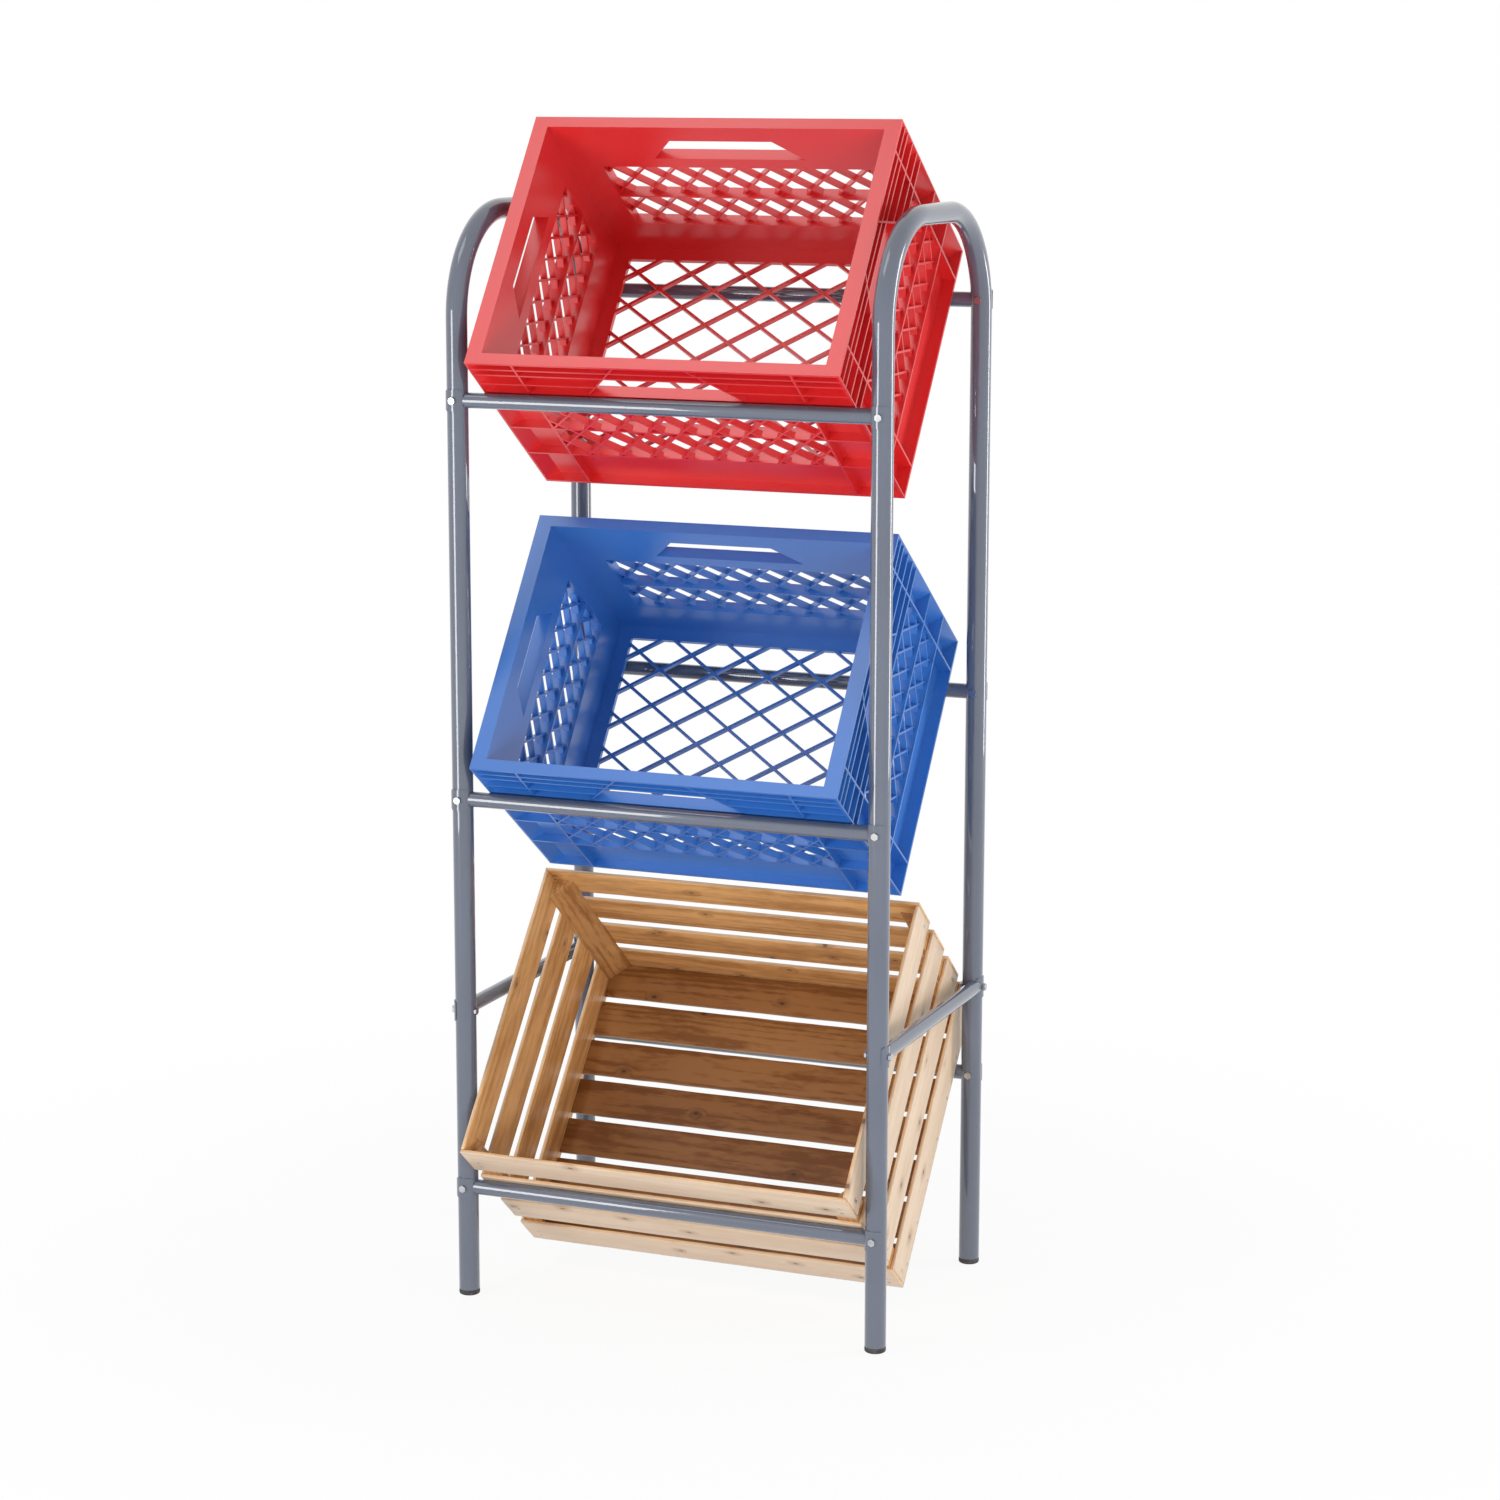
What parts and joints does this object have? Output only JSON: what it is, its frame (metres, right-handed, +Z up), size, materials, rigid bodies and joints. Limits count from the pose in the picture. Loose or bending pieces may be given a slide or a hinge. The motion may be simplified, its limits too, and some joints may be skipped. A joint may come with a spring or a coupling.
{
  "type": "tilted crate display rack",
  "caption": "Tall tube rack of hoop-shaped sides and bolted cross bars that holds drinks crates tilted forward in tiers, moulded lattice crates above a slatted wooden one, each lifting out.",
  "frame": {"origin": "on the floor, in the middle between the legs", "axes": "+Z up, -Y towards the customer at the open front, +X to that customer's right"},
  "size_m": [0.4884, 0.3934, 1.2302],
  "materials": {
    "rack_paint": "glossy blue-grey paint",
    "zinc_fasteners": "bright zinc plate",
    "foot_rubber": "dull black",
    "red_plastic": "satin moulded plastic",
    "blue_plastic": "satin moulded plastic",
    "slat_wood": "bare sawn softwood with knots",
    "nail_steel": "dull wire nails"
  },
  "bodies": {
    "rack": {"foot_cap_front_left": "foot_rubber", "foot_cap_front_right": "foot_rubber", "foot_cap_rear_left": "foot_rubber", "foot_cap_rear_right": "foot_rubber", "front_bar_bottom": "rack_paint", "front_bar_bottom_saddles": "rack_paint", "front_bar_middle": "rack_paint", "front_bar_middle_saddles": "rack_paint", "front_bar_top": "rack_paint", "front_bar_top_saddles": "rack_paint", "hex_bolts": "zinc_fasteners", "hex_nuts": "zinc_fasteners", "left_hoop": "rack_paint", "rear_bar_bottom": "rack_paint", "rear_bar_bottom_saddles": "rack_paint", "rear_bar_middle": "rack_paint", "rear_bar_middle_saddles": "rack_paint", "rear_bar_top": "rack_paint", "rear_bar_top_saddles": "rack_paint", "right_hoop": "rack_paint", "side_bar_left": "rack_paint", "side_bar_left_saddles": "rack_paint", "side_bar_right": "rack_paint", "side_bar_right_saddles": "rack_paint"},
    "red_crate": {"red_crate": "red_plastic"},
    "blue_crate": {"blue_crate": "blue_plastic"},
    "wood_crate": {"base_board_1": "slat_wood", "base_board_2": "slat_wood", "base_board_3": "slat_wood", "base_board_4": "slat_wood", "base_board_5": "slat_wood", "base_board_6": "slat_wood", "base_board_7": "slat_wood", "corner_post_front_left": "slat_wood", "corner_post_front_right": "slat_wood", "corner_post_rear_left": "slat_wood", "corner_post_rear_right": "slat_wood", "front_slat_1": "slat_wood", "front_slat_2": "slat_wood", "front_slat_3": "slat_wood", "front_slat_4": "slat_wood", "left_slat_1": "slat_wood", "left_slat_2": "slat_wood", "left_slat_3": "slat_wood", "left_slat_4": "slat_wood", "nails": "nail_steel", "rear_slat_1": "slat_wood", "rear_slat_2": "slat_wood", "rear_slat_3": "slat_wood", "rear_slat_4": "slat_wood", "right_slat_1": "slat_wood", "right_slat_2": "slat_wood", "right_slat_3": "slat_wood", "right_slat_4": "slat_wood"}
  },
  "joints": [
    {"name": "red_crate_lift", "type": "slide", "parent": "rack", "child": "red_crate", "axis": [0, -0.8095, 0.5871], "range_m": [0, 0.24]},
    {"name": "blue_crate_lift", "type": "slide", "parent": "rack", "child": "blue_crate", "axis": [0, -0.8095, 0.5871], "range_m": [0, 0.24]},
    {"name": "wood_crate_lift", "type": "slide", "parent": "rack", "child": "wood_crate", "axis": [0, -0.7672, 0.6414], "range_m": [0, 0.017]}
  ]
}
